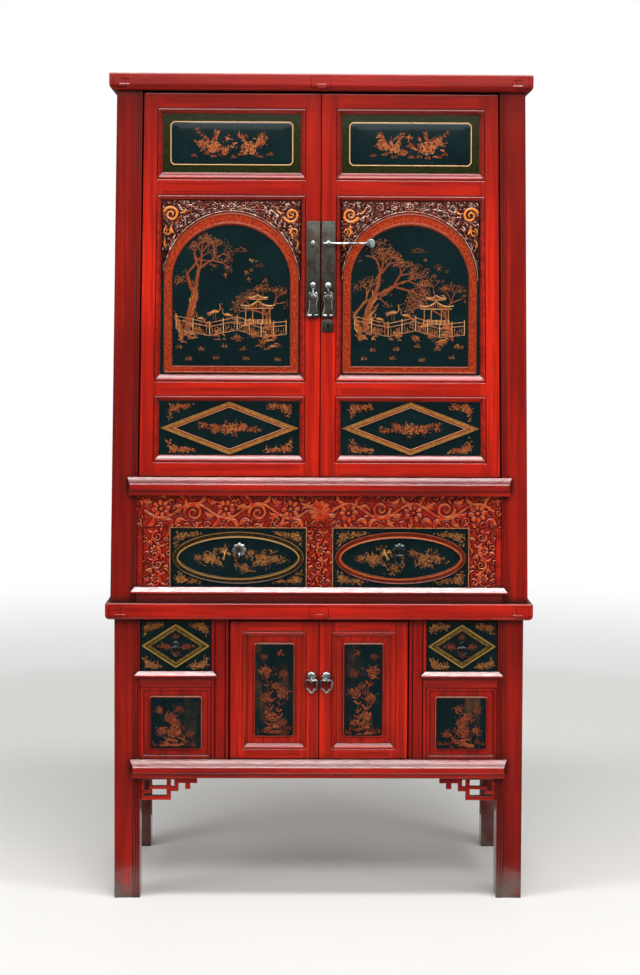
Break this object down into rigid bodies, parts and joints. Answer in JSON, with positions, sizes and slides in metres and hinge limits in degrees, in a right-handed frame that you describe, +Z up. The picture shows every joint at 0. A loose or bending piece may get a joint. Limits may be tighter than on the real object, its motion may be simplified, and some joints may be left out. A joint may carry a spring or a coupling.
{
  "type": "chinese wedding cabinet",
  "caption": "Tall red lacquered cabinet in two stages, with panelled doors, drawers, a carved drawer surround and fretwork brackets.",
  "frame": {"origin": "middle of the cabinet's box, on the floor under the feet", "axes": "+Z up, the doors face -Y, +X to the right as seen from the front"},
  "size_m": [0.998, 0.479, 1.93],
  "materials": {
    "red_lacquer": "vermilion lacquer over wood, rubbed dark at the edges",
    "black_lacquer": "blue black lacquer over wood with painted gold decoration",
    "carved_gilt": "carved wood, lacquered red with gilt tops",
    "raw_wood": "bare softwood, darkened with age",
    "stained_wood": "dark brown stained wood",
    "dark_iron": "wrought iron plate, dull and worn",
    "old_brass": "dark patinated brass, bright at the edges"
  },
  "bodies": {
    "cabinet": {"lower_posts": "red_lacquer", "upper_posts": "red_lacquer", "waist_frame": "red_lacquer", "waist_board": "red_lacquer", "cornice_frame": "red_lacquer", "cornice_board": "red_lacquer", "bottom_rail": "red_lacquer", "mid_rail": "red_lacquer", "sill_rail": "red_lacquer", "lower_frame_rails": "stained_wood", "upper_frame_rails": "stained_wood", "lower_panels": "stained_wood", "upper_panels": "stained_wood", "lower_floor": "raw_wood", "upper_floor": "raw_wood", "muntins": "red_lacquer", "small_drawer_rails": "red_lacquer", "side_bay_panels": "red_lacquer", "carved_surround": "carved_gilt", "large_drawer_runners": "raw_wood", "small_drawer_runners": "raw_wood", "shelf": "raw_wood", "corner_brackets": "red_lacquer"},
    "upper_left_door": {"upper_left_door_frame": "red_lacquer", "upper_left_door_mouldings": "red_lacquer", "upper_left_door_panels": "black_lacquer", "upper_left_door_arch_carving": "carved_gilt", "upper_left_face_plate": "dark_iron"},
    "upper_left_pendant": {"upper_left_pendant": "old_brass"},
    "lower_left_door": {"lower_left_door_frame": "red_lacquer", "lower_left_door_panel": "black_lacquer", "lower_left_boss": "old_brass"},
    "lower_left_ring": {"lower_left_ring": "old_brass"},
    "large_left_drawer": {"large_left_drawer_front": "black_lacquer", "large_left_drawer_box": "raw_wood", "large_left_boss": "old_brass"},
    "small_left_drawer": {"small_left_drawer_front": "black_lacquer", "small_left_drawer_box": "raw_wood", "small_left_boss": "old_brass"},
    "small_left_ring": {"small_left_ring": "old_brass"},
    "upper_right_door": {"upper_right_door_frame": "red_lacquer", "upper_right_door_mouldings": "red_lacquer", "upper_right_door_panels": "black_lacquer", "upper_right_door_arch_carving": "carved_gilt", "upper_right_face_plate": "dark_iron"},
    "upper_right_pendant": {"upper_right_pendant": "old_brass"},
    "lower_right_door": {"lower_right_door_frame": "red_lacquer", "lower_right_door_panel": "black_lacquer", "lower_right_boss": "old_brass"},
    "lower_right_ring": {"lower_right_ring": "old_brass"},
    "large_right_drawer": {"large_right_drawer_front": "black_lacquer", "large_right_drawer_box": "raw_wood", "large_right_boss": "old_brass"},
    "small_right_drawer": {"small_right_drawer_front": "black_lacquer", "small_right_drawer_box": "raw_wood", "small_right_boss": "old_brass"},
    "small_right_ring": {"small_right_ring": "old_brass"},
    "large_right_ring": {"large_right_ring": "old_brass"},
    "lock_pin": {"lock_pin": "old_brass"}
  },
  "joints": [
    {"name": "upper_left_door_swing", "type": "hinge", "parent": "cabinet", "child": "upper_left_door", "pos_m": [-0.40173, -0.2125, 1.442], "axis": [-0.0139, 0, -0.9999], "range_deg": [0, 105]},
    {"name": "upper_left_pendant_swing", "type": "hinge", "parent": "upper_left_door", "child": "upper_left_pendant", "pos_m": [-0.0175, -0.232, 1.44307], "axis": [-1, 0, 0], "range_deg": [0, 80]},
    {"name": "lower_left_door_swing", "type": "hinge", "parent": "cabinet", "child": "lower_left_door", "pos_m": [-0.1951, -0.2065, 0.4945], "axis": [0, 0, -1], "range_deg": [0, 105]},
    {"name": "lower_left_ring_swing", "type": "hinge", "parent": "lower_left_door", "child": "lower_left_ring", "pos_m": [-0.0175, -0.225, 0.51879], "axis": [-1, 0, 0], "range_deg": [0, 110]},
    {"name": "small_left_ring_swing", "type": "hinge", "parent": "small_left_drawer", "child": "small_left_ring", "pos_m": [-0.33605, -0.2235, 0.59609], "axis": [-1, 0, 0], "range_deg": [0, 110]},
    {"name": "large_left_drawer_slide", "type": "slide", "parent": "cabinet", "child": "large_left_drawer", "axis": [0, -1, 0], "range_m": [0, 0.3]},
    {"name": "small_left_drawer_slide", "type": "slide", "parent": "cabinet", "child": "small_left_drawer", "axis": [0, -1, 0], "range_m": [0, 0.28]},
    {"name": "upper_right_door_swing", "type": "hinge", "parent": "cabinet", "child": "upper_right_door", "pos_m": [0.40173, -0.2125, 1.442], "axis": [-0.0139, 0, 0.9999], "range_deg": [0, 105]},
    {"name": "upper_right_pendant_swing", "type": "hinge", "parent": "upper_right_door", "child": "upper_right_pendant", "pos_m": [0.0175, -0.232, 1.44307], "axis": [-1, 0, 0], "range_deg": [0, 80]},
    {"name": "lower_right_door_swing", "type": "hinge", "parent": "cabinet", "child": "lower_right_door", "pos_m": [0.1951, -0.2065, 0.4945], "axis": [0, 0, 1], "range_deg": [0, 105]},
    {"name": "lower_right_ring_swing", "type": "hinge", "parent": "lower_right_door", "child": "lower_right_ring", "pos_m": [0.0175, -0.225, 0.51879], "axis": [-1, 0, 0], "range_deg": [0, 110]},
    {"name": "small_right_ring_swing", "type": "hinge", "parent": "small_right_drawer", "child": "small_right_ring", "pos_m": [0.33605, -0.2235, 0.59609], "axis": [-1, 0, 0], "range_deg": [0, 110]},
    {"name": "large_right_drawer_slide", "type": "slide", "parent": "cabinet", "child": "large_right_drawer", "axis": [0, -1, 0], "range_m": [0, 0.3]},
    {"name": "small_right_drawer_slide", "type": "slide", "parent": "cabinet", "child": "small_right_drawer", "axis": [0, -1, 0], "range_m": [0, 0.28]},
    {"name": "large_right_ring_swing", "type": "hinge", "parent": "large_right_drawer", "child": "large_right_ring", "pos_m": [0.1875, -0.225, 0.81323], "axis": [-1, 0, 0], "range_deg": [0, 110]},
    {"name": "lock_pin_slide", "type": "slide", "parent": "upper_right_door", "child": "lock_pin", "axis": [1, 0, 0], "range_m": [-0.056, 0]}
  ]
}
